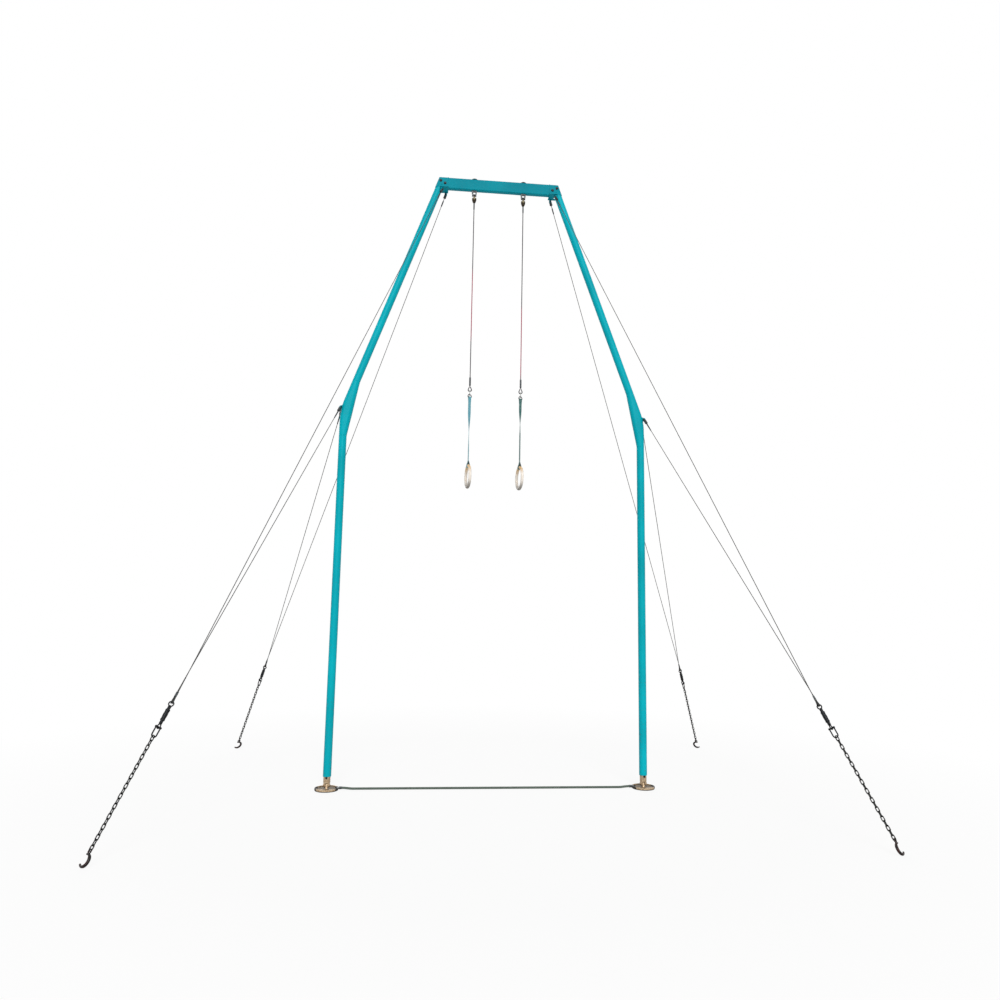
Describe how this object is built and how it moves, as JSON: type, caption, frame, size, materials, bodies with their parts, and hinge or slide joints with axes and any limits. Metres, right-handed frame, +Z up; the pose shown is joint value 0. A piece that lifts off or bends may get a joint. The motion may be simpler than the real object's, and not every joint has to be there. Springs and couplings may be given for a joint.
{
  "type": "gymnastic rings",
  "caption": "Wooden gymnastic rings on straps and cables under the crossbeam of a free-standing tubular frame, held upright by wire guys with turnbuckles, chains and floor hooks.",
  "frame": {"origin": "on the floor, midway between the two feet", "axes": "+Z up, +X along the crossbeam, +Y from the front to the rear"},
  "size_m": [5.4586, 4.0478, 5.9692],
  "materials": {
    "teal_paint": "semi-gloss paint",
    "galvanised_steel": "zinc-plated, matt",
    "yellow_zinc": "yellow-passivated zinc",
    "dark_steel": "blackened steel",
    "bright_steel": "bright zinc",
    "wire_rope": "stranded steel wire",
    "brass": "dull brass",
    "hook_iron": "black lacquer, dark red where worn",
    "webbing_light": "woven polyester, light blue-teal",
    "webbing_dark": "woven polyester, dark green-teal",
    "ring_wood": "sanded laminated wood",
    "black_rubber": "moulded",
    "tie_rope": "sheathed rope"
  },
  "bodies": {
    "frame": {"lower_post_left": "teal_paint", "upper_post_left": "teal_paint", "knee_left": "teal_paint", "post_head_left": "teal_paint", "guy_bracket_left": "teal_paint", "leg_spigot_left": "yellow_zinc", "height_pin_left": "dark_steel", "ring_yoke_left": "galvanised_steel", "lower_post_right": "teal_paint", "upper_post_right": "teal_paint", "knee_right": "teal_paint", "post_head_right": "teal_paint", "guy_bracket_right": "teal_paint", "leg_spigot_right": "yellow_zinc", "height_pin_right": "dark_steel", "ring_yoke_right": "galvanised_steel", "crossbeam": "teal_paint", "upper_guy_front_left": "wire_rope", "lower_guy_front_left": "wire_rope", "turnbuckle_eye_front_left": "dark_steel", "guy_chain_front_left": "bright_steel", "floor_hook_front_left": "hook_iron", "upper_guy_front_right": "wire_rope", "lower_guy_front_right": "wire_rope", "turnbuckle_eye_front_right": "dark_steel", "guy_chain_front_right": "bright_steel", "floor_hook_front_right": "hook_iron", "upper_guy_rear_left": "wire_rope", "lower_guy_rear_left": "wire_rope", "turnbuckle_eye_rear_left": "dark_steel", "guy_chain_rear_left": "bright_steel", "floor_hook_rear_left": "hook_iron", "upper_guy_rear_right": "wire_rope", "lower_guy_rear_right": "wire_rope", "turnbuckle_eye_rear_right": "dark_steel", "guy_chain_rear_right": "bright_steel", "floor_hook_rear_right": "hook_iron"},
    "feet": {"foot_plate_left": "yellow_zinc", "foot_plate_right": "yellow_zinc", "foot_pad_left": "black_rubber", "foot_pad_right": "black_rubber", "floor_tie": "tie_rope"},
    "barrel_front_left": {"turnbuckle_barrel_front_left": "dark_steel"},
    "barrel_front_right": {"turnbuckle_barrel_front_right": "dark_steel"},
    "barrel_rear_left": {"turnbuckle_barrel_rear_left": "dark_steel"},
    "barrel_rear_right": {"turnbuckle_barrel_rear_right": "dark_steel"},
    "swing_left": {"swing_block_left": "dark_steel"},
    "bell_left": {"swivel_bell_left": "brass"},
    "cable_left": {"ring_cable_left": "wire_rope"},
    "link_left": {"cable_link_left": "bright_steel"},
    "strap_left": {"strap_eye_left": "dark_steel", "ring_strap_left": "webbing_light"},
    "ring_left": {"wooden_ring_left": "ring_wood"},
    "swing_right": {"swing_block_right": "dark_steel"},
    "bell_right": {"swivel_bell_right": "brass"},
    "cable_right": {"ring_cable_right": "wire_rope"},
    "link_right": {"cable_link_right": "bright_steel"},
    "strap_right": {"strap_eye_right": "dark_steel", "ring_strap_right": "webbing_dark"},
    "ring_right": {"wooden_ring_right": "ring_wood"}
  },
  "joints": [
    {"name": "feet_tilt", "type": "hinge", "parent": "frame", "child": "feet", "pos_m": [0, 0, 0.045], "axis": [1, 0, 0], "range_deg": [-15, 15]},
    {"name": "ring_swing_left", "type": "hinge", "parent": "frame", "child": "swing_left", "pos_m": [-0.25, 0, 5.787], "axis": [1, 0, 0], "range_deg": [-60, 60]},
    {"name": "ring_spread_left", "type": "hinge", "parent": "swing_left", "child": "bell_left", "pos_m": [-0.25, 0, 5.766], "axis": [0, 1, 0], "range_deg": [-2, 15]},
    {"name": "cable_spin_left", "type": "hinge", "parent": "bell_left", "child": "cable_left", "pos_m": [-0.25, 0, 5.754], "axis": [0, 0, 1], "continuous": true},
    {"name": "link_fold_left", "type": "hinge", "parent": "cable_left", "child": "link_left", "pos_m": [-0.25, 0, 3.7345], "axis": [1, 0, 0], "range_deg": [-60, 60]},
    {"name": "strap_fold_left", "type": "hinge", "parent": "link_left", "child": "strap_left", "pos_m": [-0.25, 0, 3.694], "axis": [0, 1, 0], "range_deg": [-20, 20]},
    {"name": "ring_tilt_left", "type": "hinge", "parent": "strap_left", "child": "ring_left", "pos_m": [-0.25, 0, 2.994], "axis": [-0.1392, 0.9903, 0], "range_deg": [-35, 35]},
    {"name": "ring_swing_right", "type": "hinge", "parent": "frame", "child": "swing_right", "pos_m": [0.25, 0, 5.787], "axis": [1, 0, 0], "range_deg": [-60, 60]},
    {"name": "ring_spread_right", "type": "hinge", "parent": "swing_right", "child": "bell_right", "pos_m": [0.25, 0, 5.766], "axis": [0, 1, 0], "range_deg": [-15, 2]},
    {"name": "cable_spin_right", "type": "hinge", "parent": "bell_right", "child": "cable_right", "pos_m": [0.25, 0, 5.754], "axis": [0, 0, 1], "continuous": true},
    {"name": "link_fold_right", "type": "hinge", "parent": "cable_right", "child": "link_right", "pos_m": [0.25, 0, 3.7345], "axis": [1, 0, 0], "range_deg": [-60, 60]},
    {"name": "strap_fold_right", "type": "hinge", "parent": "link_right", "child": "strap_right", "pos_m": [0.25, 0, 3.694], "axis": [0, 1, 0], "range_deg": [-20, 20]},
    {"name": "ring_tilt_right", "type": "hinge", "parent": "strap_right", "child": "ring_right", "pos_m": [0.25, 0, 2.994], "axis": [-0.1392, 0.9903, 0], "range_deg": [-35, 35]},
    {"name": "turnbuckle_turn_front_left", "type": "hinge", "parent": "frame", "child": "barrel_front_left", "pos_m": [-2.37404, -1.58988, 0.92605], "axis": [-0.3143, -0.3883, -0.8663], "continuous": true},
    {"name": "turnbuckle_turn_front_right", "type": "hinge", "parent": "frame", "child": "barrel_front_right", "pos_m": [2.37404, -1.58988, 0.92605], "axis": [0.3143, -0.3883, -0.8663], "continuous": true},
    {"name": "turnbuckle_turn_rear_left", "type": "hinge", "parent": "frame", "child": "barrel_rear_left", "pos_m": [-2.37103, 1.59029, 0.92514], "axis": [-0.3171, 0.3879, -0.8654], "continuous": true},
    {"name": "turnbuckle_turn_rear_right", "type": "hinge", "parent": "frame", "child": "barrel_rear_right", "pos_m": [2.37103, 1.59029, 0.92514], "axis": [0.3171, 0.3879, -0.8654], "continuous": true}
  ]
}
